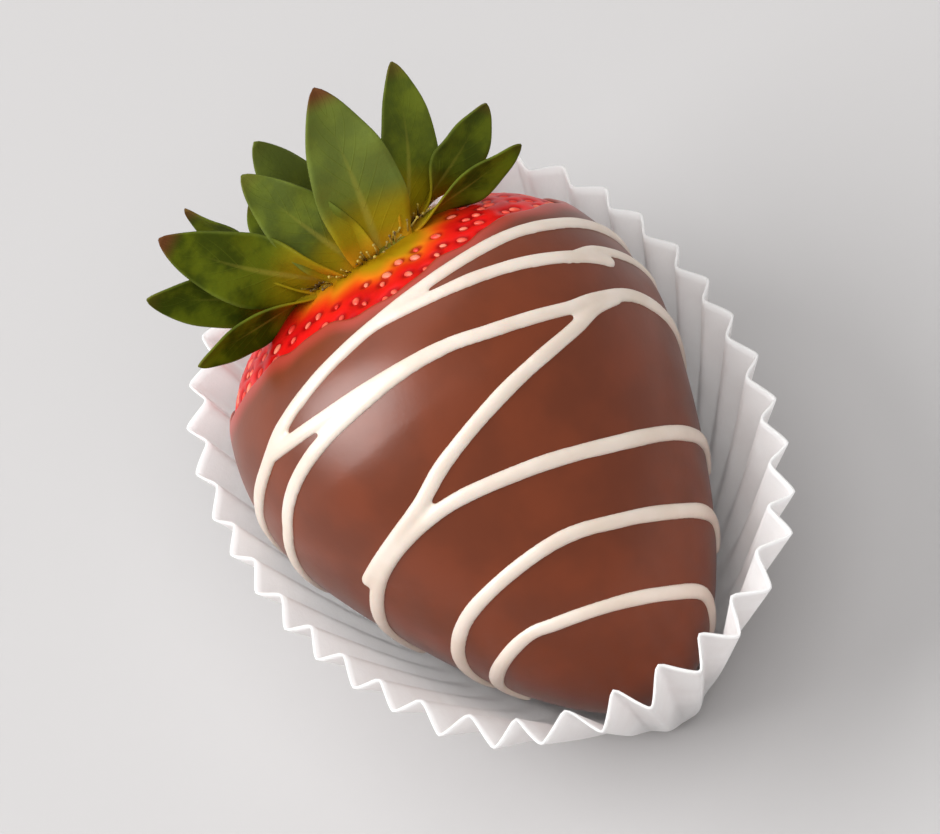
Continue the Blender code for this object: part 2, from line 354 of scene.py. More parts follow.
pit_places = np.array([list(skin(turn, rise, FLESH_INSET)) for turn, rise in seeds_at])


def flesh_spot(place):
    """Turn and rise of the flesh for a point of a unit sphere."""
    share = polar_share(place)
    if share < HIDDEN_SHARE:
        return turn_of(place), SHOWN_FROM * share / HIDDEN_SHARE
    shown = (share - HIDDEN_SHARE) / (1.0 - HIDDEN_SHARE)
    return turn_of(place), SHOWN_FROM + (2.0 - SHOWN_FROM) * shown


def pit_share(turn, rise):
    """How far a spot lies down in the pits, from 0 on the swells to 1 in a pit's middle."""
    if rise <= SHOWN_FROM:
        return 0.0
    apart = np.linalg.norm(pit_places - np.array(skin(turn, rise, FLESH_INSET)), axis=1) / PIT_RADIUS
    near = apart[apart < PIT_REACH]
    return float(np.exp(-(near**2)).sum())


flesh = add_ball("red_flesh", FLESH_STEPS, FLESH_RINGS)
spots = [flesh_spot(vert.co) for vert in flesh.data.vertices]
pits = [pit_share(turn, rise) for turn, rise in spots]
keep_value(flesh, "pit", pits)
insets = [flesh_inset(turn, rise) + PIT_DEPTH * pit for (turn, rise), pit in zip(spots, pits)]
places = iter(skin(turn, rise, inset) for (turn, rise), inset in zip(spots, insets))
move_points(flesh, lambda place: next(places))
settle(flesh, "strawberry_red", "strawberry")

# %% [markdown]
# A seed is a flattened drop about a millimetre long that points to the tip. It is modelled once
# with few faces and copied into each pit, and all the copies are joined into one piece.

# %% Model the seeds
SEED_LENGTH = 1.15 * MM
SEED_WIDTH = 0.74 * MM
SEED_HEIGHT = 0.42 * MM
SEED_SINK = 0.12 * MM
SEED_POINT = 0.45  # how much its two ends differ in width
SEED_SIZES = (0.6, 1.1)
SEED_TWIST = 0.3
SEEDS_UNDER = 0.12  # rise under the coat's edge where the last seeds are


def model_seed():
    seed = add_ball("seed_first", steps=8, rings=6, radius=0.5)
    bpy.ops.object.mode_set(mode="EDIT")
    bpy.ops.mesh.select_all(action="SELECT")
    bpy.ops.transform.resize(value=(SEED_WIDTH, SEED_HEIGHT, SEED_LENGTH))
    bpy.ops.object.mode_set(mode="OBJECT")
    move_points(seed, lambda p: Vector((p.x * (1.0 + SEED_POINT * p.z / SEED_LENGTH), p.y, p.z)))
    return seed


def surface_axes(turn, rise):
    """Outward, upward (towards the crown) and sideways directions of the fruit's surface."""
    step = 0.01
    up = (skin(turn, rise + step) - skin(turn, rise - step)).normalized()
    side = (skin(turn + step, rise) - skin(turn - step, rise)).normalized()
    return up.cross(side).normalized(), up, side


def placed_copy(first, placing):
    """A copy of a piece with a mesh of its own, which is moved to its place."""
    copy = first.copy()
    copy.data = first.data.copy()
    bpy.context.scene.collection.objects.link(copy)
    copy.data.transform(placing)
    return copy


def plant(first, turn, rise, inset, twist, size):
    """A copy of the first piece, standing on the fruit's surface."""
    out, up, side = surface_axes(turn, rise)
    upward = up * math.cos(twist) + side * math.sin(twist)
    turned = Matrix((out.cross(upward), out, upward)).transposed().to_4x4()
    placing = Matrix.Translation(skin(turn, rise, inset)) @ turned @ Matrix.Scale(size, 4)
    return placed_copy(first, placing)


rng = random.Random(11)
seed_first = model_seed()
copies = []
for turn, rise in seeds_at:
    if rise > edge_rise(turn) - SEEDS_UNDER:
        inset = FLESH_INSET + PIT_DEPTH - SEED_SINK
        size = rng.uniform(*SEED_SIZES)
        twist = rng.uniform(-SEED_TWIST, SEED_TWIST)
        copies.append(plant(seed_first, turn, rise, inset, twist, size))
bpy.data.objects.remove(seed_first)
seeds = join_pieces("seeds", copies)
settle(seeds, "straw_seed")

# %% [markdown]
# ## White chocolate drizzle
# The drizzle was poured to and fro over the lying fruit, so each pass is a long line that bows
# towards the crown and runs down both sides. Where two passes meet at a narrow angle they flow
# together.

# %% Routes of the passes
# For each: half its width in mm, and its route from left to right as (turn in degrees, rise).
PASSES = (
    (0.76, ((195, 1.00), (155, 1.17), (140, 1.27), (120, 1.38), (100, 1.44), (75, 1.45), (50, 1.39),
            (30, 1.27), (10, 1.15), (-10, 1.07))),
    (0.74, ((150, 1.19), (135, 1.30), (115, 1.40), (98, 1.43), (75, 1.35), (60, 1.27), (45, 1.17),
            (28, 1.06))),
    (0.60, ((45, 1.15), (33, 1.13), (20, 1.07), (-10, 0.95))),
    (0.72, ((152, 1.20), (130, 1.20), (110, 1.19), (90, 1.15), (75, 1.08), (57, 1.01), (45, 0.98),
            (32, 0.94), (20, 0.88), (-10, 0.74))),
    (0.72, ((195, 0.82), (175, 0.91), (155, 1.03), (135, 1.11), (118, 1.145), (100, 1.16), (84, 1.13))),
    (0.74, ((36, 0.95), (47, 0.95), (57, 0.92), (80, 0.88), (105, 0.82), (122, 0.77), (154, 0.73))),
    (0.77, ((195, 0.58), (180, 0.64), (160, 0.69), (140, 0.73), (115, 0.74), (90, 0.70), (60, 0.64),
            (30, 0.60), (5, 0.57), (-10, 0.53))),
    (0.75, ((195, 0.43), (180, 0.47), (155, 0.52), (130, 0.55), (95, 0.55), (70, 0.51), (45, 0.47),
            (10, 0.43), (-10, 0.38))),
    (0.74, ((195, 0.36), (180, 0.41), (160, 0.43), (130, 0.44), (115, 0.42), (90, 0.38), (60, 0.33),
            (30, 0.29), (10, 0.24), (-10, 0.20))),
)
LINE_GROWN = 0.05 * MM  # added to a line before the remesh and taken off after it
LINE_HEIGHT = 0.62  # of half the width
LINE_SINK = 0.25 * MM
LINE_STEP = 0.7 * MM
LINE_END = 2.0  # steps that the rounding of an end takes
LINE_START = 0.35  # steps from the very end to the first ring, so that it isn't a point
LINE_UNEVEN = 0.07  # of the width
LINE_RHYTHM = 0.21  # how fast the width changes from step to step
LINE_APART = 7.3  # keeps the unevenness of two passes from being alike
REMESH_SIZE = 0.17 * MM
print(len(PASSES), "passes")

# %% [markdown]
# Each pass is a round curve laid on the coat and pressed flat. Then all of them are remeshed as
# one skin and smoothed. They are a little thicker during the remesh and are thinned after it, which
# closes the narrow gaps where passes meet, as liquid does.

# %% Pour the passes
def smooth_route(knots, step):
    """Points on the coat along a smooth curve through the knots (a Catmull-Rom spline)."""
    ends = [knots[0], *knots, knots[-1]]
    route = []
    for before, start, end, after in zip(ends, ends[1:], ends[2:], ends[3:]):
        gap = (skin(math.radians(end[0]), end[1]) - skin(math.radians(start[0]), start[1])).length
        count = max(2, math.ceil(gap / step))
        for index in range(count):
            part = index / count
            turn, rise = (
                0.5 * (2 * s + (e - b) * part + (2 * b - 5 * s + 4 * e - a) * part**2
                       + (3 * s - b - 3 * e + a) * part**3)
                for b, s, e, a in zip(before, start, end, after)
            )
            route.append(skin(math.radians(turn), rise))
    route.append(skin(math.radians(knots[-1][0]), knots[-1][1]))
    return route


def pour_line(index, half_width, knots):
    """A round tube along one pass, with rounded ends and a slightly uneven width."""
    route = smooth_route(knots, LINE_STEP)
    curve = bpy.data.curves.new(f"pass_{index}", "CURVE")
    curve.dimensions = "3D"
    curve.bevel_depth = 1.0
    curve.bevel_resolution = 4
    curve.use_fill_caps = True
    spline = curve.splines.new("POLY")
    spline.points.add(len(route) - 1)
    for step, point in enumerate(route):
        from_end = min(step, len(route) - 1 - step) + LINE_START
        ending = math.sqrt(1.0 - (1.0 - min(from_end / LINE_END, 1.0)) ** 2)
        change = noise.noise(Vector((step * LINE_RHYTHM, index * LINE_APART, 0.0)))
        uneven = 1.0 + LINE_UNEVEN * change
        spline.points[step].co = (*point, 1.0)
        spline.points[step].radius = (half_width * MM * uneven + LINE_GROWN) * ending
    line = bpy.data.objects.new(f"pass_{index}", curve)
    bpy.context.scene.collection.objects.link(line)
    select_only(line)
    bpy.ops.object.convert(target="MESH")
    return new_piece(f"pass_{index}")


coat_tree = BVHTree.FromPolygons(
    [vert.co for vert in coat.data.vertices], [poly.vertices[:] for poly in coat.data.polygons]
)


def pressed(point):
    """Press a tube's point towards the coat, so that the line lies on it as a low bead."""
    near, normal, _, _ = coat_tree.find_nearest(point)
    height = (point - near).dot(normal)
    if height > 0.0:
        return near + (point - near) - normal * height * (1.0 - LINE_HEIGHT)
    return point + normal * (max(height, -LINE_SINK) - height)


lines = [pour_line(index, width, knots) for index, (width, knots) in enumerate(PASSES)]
for line in lines:
    move_points(line, pressed)
drizzle = join_pieces("white_drizzle", lines)
apply_modifier(drizzle, "REMESH", mode="VOXEL", voxel_size=REMESH_SIZE)
apply_modifier(drizzle, "SMOOTH", factor=0.5, iterations=6)
apply_modifier(drizzle, "DISPLACE", strength=-LINE_GROWN, mid_level=0.0)
apply_modifier(drizzle, "SMOOTH", factor=0.5, iterations=3)
settle(drizzle, "white_drizzle")

# %% [markdown]
# ## Leaves
# A strawberry's cap is a ring of thin pointed leaves round the stalk. Each is a little hollow along
# its middle vein, waves at its margin and curls at the tip. No two are alike, so each has a row in
# a table of where it starts, where its tip is, and how wide it is.

# %% Places of the leaves
CALYX_SIDE = 1.2 * MM
HUB_HEIGHT = 1.6 * MM
HUB_SINK = 1.5 * MM
LEAF_RING = 5.5 * MM
LEAF_BOW = 0.07
LEAF_HOLLOW = 0.24
LEAF_WAIST = 0.22
LEAF_ROUNDING = 0.74
LEAF_POINT = 0.06 * MM
LEAF_WALL = 0.2 * MM
LEAF_ROWS = 40
LEAF_COLUMNS = 14
LEAF_RIPPLE = (0.05, 0.1)  # height of the margin's waves, in half widths
LEAF_RIPPLES = (2.0, 3.2)  # waves along a leaf
LEAF_CURLS = (-0.025, 0.05)  # of the tip, in leaf lengths
CURL_FROM = 0.6  # share of the length where the tip starts to curl
HOLLOW_SHAPE = 1.5  # power of the distance from the middle vein that the hollow follows
# For each: turn on the hub in degrees; the tip's place to the side, off the crown and towards the upper
# side in mm; width in mm; how far its face is twisted to the upper side; how brown its tip is; and how
# much painted light lightens its face where the lamps leave it in shade.
LEAVES = (
    (155.0, -18.5, 1.8, 6.0, 4.2, 0.6, 0.2, 0.0),
    (168.0, -18.6, 8.9, 3.0, 5.4, 0.8, 0.2, 0.1),
    (138.0, -14.7, 12.8, 4.5, 6.8, 0.9, 1.0, 0.1),
    (205.0, -10.7, 12.7, -1.0, 4.0, 0.55, 0.8, 0.2),
    (104.0, -5.4, 13.0, 4.0, 6.4, 0.5, 0.2, 0.6),
    (260.0, -2.3, 13.6, 0.5, 6.4, 0.4, 0.1, 1.0),
    (82.0, 4.2, 15.7, 5.0, 8.0, 0.8, 1.0, 1.0),
    (42.0, 11.5, 13.0, 2.0, 5.4, 0.8, 0.4, 0.4),
    (18.0, 16.3, 5.2, 3.5, 5.4, 0.7, 0.3, 0.3),
    (40.0, 16.6, 0.6, 6.0, 4.0, 0.6, 0.2, 0.1),
    (235.0, -5.5, 8.0, -9.0, 6.0, 0.0, 0.3, 0.2),
    (285.0, 2.5, 8.5, -9.5, 6.0, 0.0, 0.3, 0.2),
    (330.0, 9.5, 8.0, -6.5, 6.0, 0.0, 0.3, 0.2),
)
TOP_SIDE = Vector((0.0, -1.0, 0.0))
crown = (
    lay_down
    @ Matrix.Translation(bend(Vector((0.0, 0.0, FRUIT_LENGTH))))
    @ Matrix.Rotation(CROWN_LEAN, 4, "X")
    @ Matrix.Translation((CALYX_SIDE, 0.0, HUB_HEIGHT / 2.0 - HUB_SINK))
)
print(len(LEAVES), "leaves")

# %% [markdown]
# A leaf could be cut from a plane by hand, but thirteen that differ are easier to steer by a few
# numbers each. So one function draws a flat grid along a bowed spine, turns its face, narrows it to
# both ends, and hollows and ripples it. Solidify gives it a thin wall. How far each point lies
# along and across the leaf is kept on it, so that the colours follow the leaf.

# %% Model one leaf
def model_leaf(index, leaf):
    turn, sideways, outwards, upwards, width, facing, brown, painted_light = leaf
    rng = random.Random(100 + index)
    ripple = rng.uniform(*LEAF_RIPPLE)
    ripples = rng.uniform(*LEAF_RIPPLES)
    phase = rng.uniform(0.0, 2.0 * math.pi)
    curl = rng.uniform(*LEAF_CURLS)
    turn = math.radians(turn)
    spoke = Vector((math.cos(turn), -math.sin(turn), 0.0))
    around = Vector((-math.sin(turn), -math.cos(turn), 0.0))
    root = spoke * LEAF_RING
    reach = Vector((sideways, -upwards, outwards)) * MM - root
    bow = spoke * LEAF_BOW * reach.length
    bpy.ops.object.select_all(action="DESELECT")
    bpy.ops.mesh.primitive_grid_add(x_subdivisions=LEAF_ROWS, y_subdivisions=LEAF_COLUMNS, size=2.0)
    piece = new_piece(f"leaf_{index}")
    shares = [((vert.co.x + 1.0) / 2.0, vert.co.y) for vert in piece.data.vertices]

    def leaf_point(place):
        part = (place.x + 1.0) / 2.0
        side = place.y
        spine = root + reach * part + bow * 4.0 * part * (1.0 - part)
        along = (reach + bow * 4.0 * (1.0 - 2.0 * part)).normalized()
        face = along.cross(around).normalized().lerp(TOP_SIDE, facing * smoothstep(2.0 * part))
        across = face.cross(along).normalized()
        out = across.cross(along)
        arch = math.pi * (LEAF_WAIST + (1.0 - LEAF_WAIST) * part)
        half = math.sin(arch) ** LEAF_ROUNDING * width * MM / 2.0 + LEAF_POINT
        hollow = -LEAF_HOLLOW * half * (1.0 - abs(side) ** HOLLOW_SHAPE)
        wave = ripple * half * side * side * math.sin(2.0 * math.pi * ripples * part + phase + side)
        tip = curl * reach.length * smoothstep((part - CURL_FROM) / (1.0 - CURL_FROM)) ** 2
        depth = hollow + LEAF_HOLLOW * half / 2.0 - wave + tip
        return crown @ (spine + across * side * half - out * depth)

    move_points(piece, leaf_point)
    keep_value(piece, "leaf_along", [along for along, side in shares])
    keep_value(piece, "leaf_across", [side for along, side in shares])
    keep_value(piece, "leaf_brown", [brown] * len(shares))
    # painted light: how much each leaf's face is lightened where it lies in shade
    keep_value(piece, "leaf_painted_light", [painted_light] * len(shares))
    apply_modifier(piece, "SOLIDIFY", thickness=LEAF_WALL, offset=0.0)
    return piece


leaves = join_pieces("leaves", [model_leaf(index, leaf) for index, leaf in enumerate(LEAVES)])
settle(leaves, "leaf_green", "calyx")

# %% [markdown]
# Under the leaves is a small hub with the cut stalk. The leaves hide most of them, so both are
# plain: a flattened ball, and a short cylinder with its rims rounded.

# %% Model the hub and the stalk
HUB_RADIUS = 6.4 * MM
STUB_RADIUS = 1.5 * MM
STUB_HEIGHT = 3.0 * MM
STUB_ROUNDING = 0.3 * MM

hub = add_ball("hub", steps=48, rings=24)
move_points(hub, lambda p: Vector((p.x * HUB_RADIUS, p.y * HUB_RADIUS, p.z * HUB_HEIGHT / 2.0)))
bpy.ops.object.select_all(action="DESELECT")
bpy.ops.mesh.primitive_cylinder_add(vertices=24, radius=STUB_RADIUS, depth=STUB_HEIGHT)
stub = new_piece("stub")
move_points(stub, lambda p: Vector((p.x, p.y, p.z + STUB_HEIGHT / 2.0)))
apply_modifier(stub, "BEVEL", width=STUB_ROUNDING, segments=3)
hub = join_pieces("stalk_and_hub", [hub, stub])
hub.data.transform(crown)
settle(hub, "leaf_green")

# %% [markdown]
# Dry stamens ring the hub: thin threads with a small head, which show as specks between the leaves
# and the flesh. One is modelled from a cone and a ball, and copied round the hub, leaning out by
# different angles.

# %% Model the stamens
STAMENS = 120
STAMEN_LENGTH = 1.5 * MM
STAMEN_RADIUS = 0.12 * MM
STAMEN_LIFT = 0.45 * MM
HEAD_RADIUS = 0.15 * MM
STAMEN_STRAY = 0.3  # of the gap between two stamens
STAMEN_LEANS = (0.6, 1.5)
STAMEN_RING = (0.86, 1.14)  # of the hub's radius
STAMEN_SIZES = (0.5, 1.15)


def model_stamen():
    """A tapering thread with a small round head, standing up from the origin."""
    bpy.ops.object.select_all(action="DESELECT")
    bpy.ops.mesh.primitive_cone_add(
        vertices=6, radius1=STAMEN_RADIUS, radius2=STAMEN_RADIUS / 2.0, depth=STAMEN_LENGTH
    )
    thread = new_piece("thread")
    head = add_ball("head", steps=8, rings=6, radius=HEAD_RADIUS)
    for piece, height in ((thread, STAMEN_LENGTH / 2.0), (head, STAMEN_LENGTH)):
        piece.data.transform(Matrix.Translation((0.0, 0.0, height)))
    return join_pieces("stamen_first", [thread, head])


rng = random.Random(21)
stamen_first = model_stamen()
copies = []
for index in range(STAMENS):
    bearing = 2.0 * math.pi * (index + rng.uniform(-STAMEN_STRAY, STAMEN_STRAY)) / STAMENS
    leaning = rng.uniform(*STAMEN_LEANS)
    ring = HUB_RADIUS * rng.uniform(*STAMEN_RING)
    standing = Matrix.Translation((ring * math.cos(bearing), ring * math.sin(bearing), STAMEN_LIFT))
    standing = standing @ Matrix.Rotation(bearing, 4, "Z") @ Matrix.Rotation(leaning, 4, "Y")
    sized = Matrix.Scale(rng.uniform(*STAMEN_SIZES), 4)
    copies.append(placed_copy(stamen_first, crown @ standing @ sized))
bpy.data.objects.remove(stamen_first)
stamens = join_pieces("stamens", copies)
settle(stamens, "straw_seed")

# %% [markdown]
# ## Paper case
# A fluted case is one round of thin paper, pressed so that its wall falls into pleats. The pleats
# start flat at the base and are deepest at the rim, and hand folding leaves each a little
# different. It is laid out between two outlines, a base that narrows to the front and the wider
# rim. Each is two arcs that blend at the sides, measured along its length, so that all the pleats
# come out equally wide.

# %% Driving sizes of the case
# Front radius, back radius, front centre, back centre, and the angles where the arcs are blended.
CASE_RIM = (24.0 * MM, 24.0 * MM, -5.6 * MM, 10.8 * MM, math.radians(-60.0), math.radians(50.0))
CASE_BASE = (5.0 * MM, 15.0 * MM, -13.8 * MM, 5.0 * MM, math.radians(-80.0), math.radians(20.0))
CASE_HEIGHT = 22.0 * MM
PLEATS = 37
PLEAT_DEPTH = 2.8 * MM
SIDE_PLEAT_DEPTH = 1.5 * MM
PLEAT_DROP = 0.45 * MM
PLEAT_START = 0.41  # pleats from the front to the middle of the first outer fold
PLEAT_STEPS = 16
PLEAT_SHARPNESS = 0.93  # 1 is a sharp fold
PLEAT_FADE = 1.25  # power of the height that a pleat's depth follows
PLEAT_DEPTHS = (0.86, 1.1)  # of the usual depth
PLEAT_LIFT = 0.3 * MM
PLEAT_SHIFT = 0.07  # of a pleat's width
MIDDLE = 0.5  # of the unit cylinder's radius, inside which only its middle points lie
PAPER_ROWS = 30
FOOT_ROUNDING = 0.15  # share of the wall that the rounded foot takes
PAPER_WALL = 0.22 * MM
OUTLINE_STEPS = 2400
print(PLEATS, "pleats, height mm:", in_mm([CASE_HEIGHT]))


def case_outline(front_radius, back_radius, front_centre, back_centre, blend_from, blend_to):
    """Points round an outline from the front, and how far along its length each one lies."""
    points = []
    for step in range(OUTLINE_STEPS + 1):
        bearing = 2.0 * math.pi * step / OUTLINE_STEPS - math.pi / 2.0
        from_front = bearing if bearing <= math.pi / 2.0 else math.pi - bearing
        share = smoothstep((from_front - blend_from) / (blend_to - blend_from))
        radius = front_radius + (back_radius - front_radius) * share
        centre = front_centre + (back_centre - front_centre) * share
        points.append((radius * math.cos(bearing), radius * math.sin(bearing) + centre, bearing))
    points = np.array(points)
    lengths = np.concatenate([[0.0], np.cumsum(np.hypot(*np.diff(points[:, :2], axis=0).T))])
    return points, lengths / lengths[-1]


def outline_place(measured, share):
    points, lengths = measured
    share = share % 1.0
    x, y, bearing = (float(np.interp(share, lengths, points[:, axis])) for axis in range(3))
    return Vector((x, y, 0.0)), Vector((math.cos(bearing), math.sin(bearing), 0.0))


# %% [markdown]
# A many-sided cylinder has a column of faces for every small part of a pleat. Its top is deleted
# in edit mode and its upright edges are subdivided into rings. The rings are drawn from the base
# up to the rim, with a rounded foot, and Solidify gives the paper its thickness.

# %% Model the paper case
case_steps = PLEATS * PLEAT_STEPS
base_outline = case_outline(*CASE_BASE)
rim_outline = case_outline(*CASE_RIM)
rng = random.Random(31)
pleat_depths = [rng.uniform(*PLEAT_DEPTHS) for _ in range(PLEATS)]
pleat_lifts = [rng.uniform(-PLEAT_LIFT, PLEAT_LIFT) for _ in range(PLEATS)]
pleat_shifts = [rng.uniform(-PLEAT_SHIFT, PLEAT_SHIFT) for _ in range(PLEATS)]


def blended(values, position):
    """Value of the nearest pleats at a place between them."""
    index = math.floor(position)
    part = smoothstep(position - index)
    return values[index % PLEATS] * (1.0 - part) + values[(index + 1) % PLEATS] * part


def paper_point(place):
    radius = math.hypot(place.x, place.y)
    level = place.z
    step = round(math.atan2(place.y, place.x) / (2.0 * math.pi) * case_steps) % case_steps
    position = step / PLEAT_STEPS
    swing = math.cos(2.0 * math.pi * position)
    fold = math.asin(PLEAT_SHARPNESS * swing) / math.asin(PLEAT_SHARPNESS)
    share = (position + PLEAT_START + blended(pleat_shifts, position) * level) / PLEATS
    base, _ = outline_place(base_outline, share)
    rim, out = outline_place(rim_outline, share)
    depth = SIDE_PLEAT_DEPTH + (PLEAT_DEPTH - SIDE_PLEAT_DEPTH) * out.y * out.y
    depth *= blended(pleat_depths, position) * level**PLEAT_FADE
    wall = base.lerp(rim, level) + out * fold * depth / 2.0
    climb = math.hypot(level, FOOT_ROUNDING) - FOOT_ROUNDING
    climb /= math.hypot(1.0, FOOT_ROUNDING) - FOOT_ROUNDING
    wall.z = climb * (CASE_HEIGHT - fold * PLEAT_DROP + blended(pleat_lifts, position))
    if radius < MIDDLE:
        return Vector((0.0, (CASE_BASE[2] + CASE_BASE[3]) / 2.0, 0.0))
    return wall


bpy.ops.object.select_all(action="DESELECT")
bpy.ops.mesh.primitive_cylinder_add(
    vertices=case_steps, radius=1.0, depth=1.0, end_fill_type="TRIFAN"
)
case = new_piece("fluted_paper")
move_points(case, lambda p: Vector((p.x, p.y, p.z + 0.5)))
bpy.ops.object.mode_set(mode="EDIT")
bpy.ops.mesh.select_mode(type="VERT")
bpy.ops.mesh.select_all(action="DESELECT")
bpy.ops.object.mode_set(mode="OBJECT")
for vert in case.data.vertices:
    vert.select = vert.co.z > 0.5 and math.hypot(vert.co.x, vert.co.y) < MIDDLE
bpy.ops.object.mode_set(mode="EDIT")
bpy.ops.mesh.delete(type="VERT")
bpy.ops.mesh.select_mode(type="EDGE")
bpy.ops.mesh.select_all(action="DESELECT")
bpy.ops.object.mode_set(mode="OBJECT")
for edge in case.data.edges:
    low, high = (case.data.vertices[index].co.z for index in edge.vertices)
    edge.select = abs(high - low) > 0.5
bpy.ops.object.mode_set(mode="EDIT")
bpy.ops.mesh.subdivide(number_cuts=PAPER_ROWS - 1)
bpy.ops.object.mode_set(mode="OBJECT")
move_points(case, paper_point)
apply_modifier(case, "SOLIDIFY", thickness=PAPER_WALL, offset=-1.0, use_even_offset=True)
settle(case, "white_paper", "paper_case")
print("case mm:", in_mm(case.dimensions))

# %% [markdown]
# ## Finishes
# No real surface has one flat colour. Two effects serve several finishes here, so each is a node
# group: a mottle that drifts between two colours, and a grain that gives height to a bump. The
# shader itself stays in each material, with its steady values on its own sockets.

# %% Node groups
def add_node(tree, kind, **settings):
    node = tree.nodes.new(kind)
    for key, value in settings.items():
        setattr(node, key, value)
    return node


def new_group(name, inputs, outputs):
    tree = bpy.data.node_groups.new(name, "ShaderNodeTree")
    for label, kind, value in inputs:
        socket = tree.interface.new_socket(label, in_out="INPUT", socket_type=kind)
        if value is not None:
            socket.default_value = value
    for label, kind in outputs:
        tree.interface.new_socket(label, in_out="OUTPUT", socket_type=kind)
    return tree, add_node(tree, "NodeGroupInput"), add_node(tree, "NodeGroupOutput")


def colour_mix(tree):
    return add_node(tree, "ShaderNodeMix", data_type="RGBA")


def build_mottle():
    tree, inside, outside = new_group(
        "mottle",
        [("Vector", "NodeSocketVector", None), ("Color A", "NodeSocketColor", None),
         ("Color B", "NodeSocketColor", None), ("Scale", "NodeSocketFloat", 100.0),
         ("Low", "NodeSocketFloat", 0.35), ("High", "NodeSocketFloat", 0.65)],
        [("Color", "NodeSocketColor")],
    )
    cloud = add_node(tree, "ShaderNodeTexNoise")
    cloud.inputs["Detail"].default_value = 3.0
    spread = add_node(tree, "ShaderNodeMapRange", interpolation_type="SMOOTHSTEP")
    mixed = colour_mix(tree)
    link = tree.links.new
    link(inside.outputs["Vector"], cloud.inputs["Vector"])
    link(inside.outputs["Scale"], cloud.inputs["Scale"])
    link(cloud.outputs["Fac"], spread.inputs["Value"])
    link(inside.outputs["Low"], spread.inputs["From Min"])
    link(inside.outputs["High"], spread.inputs["From Max"])
    link(spread.outputs["Result"], mixed.inputs[0])
    link(inside.outputs["Color A"], mixed.inputs[6])
    link(inside.outputs["Color B"], mixed.inputs[7])
    link(mixed.outputs[2], outside.inputs["Color"])
    return tree


def build_grain():
    tree, inside, outside = new_group(
        "grain",
        [("Vector", "NodeSocketVector", None), ("Coarse Scale", "NodeSocketFloat", 300.0),
         ("Fine Scale", "NodeSocketFloat", 1800.0), ("Fine Share", "NodeSocketFloat", 0.3)],
        [("Height", "NodeSocketFloat")],
    )
    coarse = add_node(tree, "ShaderNodeTexNoise")
    fine = add_node(tree, "ShaderNodeTexNoise")
    mixed = add_node(tree, "ShaderNodeMix", data_type="FLOAT")
    link = tree.links.new
    for cloud, label in ((coarse, "Coarse Scale"), (fine, "Fine Scale")):
        link(inside.outputs["Vector"], cloud.inputs["Vector"])
        link(inside.outputs[label], cloud.inputs["Scale"])
    link(inside.outputs["Fine Share"], mixed.inputs[0])
    link(coarse.outputs["Fac"], mixed.inputs[2])
    link(fine.outputs["Fac"], mixed.inputs[3])
    link(mixed.outputs[0], outside.inputs["Height"])
    return tree


mottle = build_mottle()
grain = build_grain()
print("groups:", [tree.name for tree in bpy.data.node_groups])

# %% [markdown]
# Every finish takes the same few steps: start a material, place a group in it, paint one colour
# over another, and raise a relief. Each is a helper, so that a finish reads as a short list.

# %% Helpers for the materials
def new_material(name, **sockets):
    material = bpy.data.materials.new(name)
    material.use_nodes = True
    shader = material.node_tree.nodes["Principled BSDF"]
    for label, value in sockets.items():
        shader.inputs[label.replace("_", " ")].default_value = value
    return material, material.node_tree, shader


def colour(red, green, blue):
    return (red, green, blue, 1.0)


def place_group(tree, group, **sockets):
    node = add_node(tree, "ShaderNodeGroup", node_tree=group)
    place = add_node(tree, "ShaderNodeTexCoord")
    tree.links.new(place.outputs["Object"], node.inputs["Vector"])
    for label, value in sockets.items():
        node.inputs[label.replace("_", " ")].default_value = value
    return node


def drifting(tree, first, second, scale, **limits):
    """A colour that drifts between two shades over a piece."""
    shades = {"Color_A": colour(*first), "Color_B": colour(*second)}
    return place_group(tree, mottle, **shades, Scale=scale, **limits).outputs["Color"]


def grained(tree, coarse, fine, fine_share):
    """Height of an even grain over a piece, made of a coarse and a fine one."""
    scales = {"Coarse_Scale": coarse, "Fine_Scale": fine}
    return place_group(tree, grain, **scales, Fine_Share=fine_share).outputs["Height"]


def add_relief(tree, shader, height, distance, strength):
    bump = add_node(tree, "ShaderNodeBump")
    bump.inputs["Strength"].default_value = strength
    bump.inputs["Distance"].default_value = distance
    tree.links.new(height, bump.inputs["Height"])
    tree.links.new(bump.outputs["Normal"], shader.inputs["Normal"])


def paint(piece, material, base=None):
    """Give a piece its material, with the base colour that its nodes made."""
    if base is not None:
        shader = material.node_tree.nodes["Principled BSDF"]
        material.node_tree.links.new(base, shader.inputs["Base Color"])
    piece.data.materials.clear()
    piece.data.materials.append(material)
    print(piece.name, "is painted with", material.name)


def read_value(tree, name):
    return add_node(tree, "ShaderNodeAttribute", attribute_name=name).outputs["Fac"]


def do_math(tree, operation, first, second=None):
    node = add_node(tree, "ShaderNodeMath", operation=operation)
    for socket, value in zip(node.inputs, (first, second)):
        if value is None:
            continue
        if isinstance(value, (int, float)):
            socket.default_value = value
        else:
            tree.links.new(value, socket)
    return node.outputs[0]


def ranged(tree, value, low, high, to_low=0.0, to_high=1.0):
    """The value, mapped smoothly from one range onto another."""
    node = add_node(tree, "ShaderNodeMapRange", interpolation_type="SMOOTHSTEP")
    tree.links.new(value, node.inputs["Value"])
    limits = {"From Min": low, "From Max": high, "To Min": to_low, "To Max": to_high}
    for label, number in limits.items():
        node.inputs[label].default_value = number
    return node.outputs["Result"]


def layer(tree, below, mask, shade):
    """Paint one colour over another where the mask is high."""
    node = colour_mix(tree)
    tree.links.new(mask, node.inputs[0])
    tree.links.new(below, node.inputs[6])
    node.inputs[7].default_value = shade
    return node.outputs[2]


# %% [markdown]
# Milk chocolate is a warm brown that drifts a little in depth, with a broad soft shine. Its fine
# grain only shows where that shine breaks. At its edge the coat is so thin that the red shows
# through, which follows the value kept on its points.

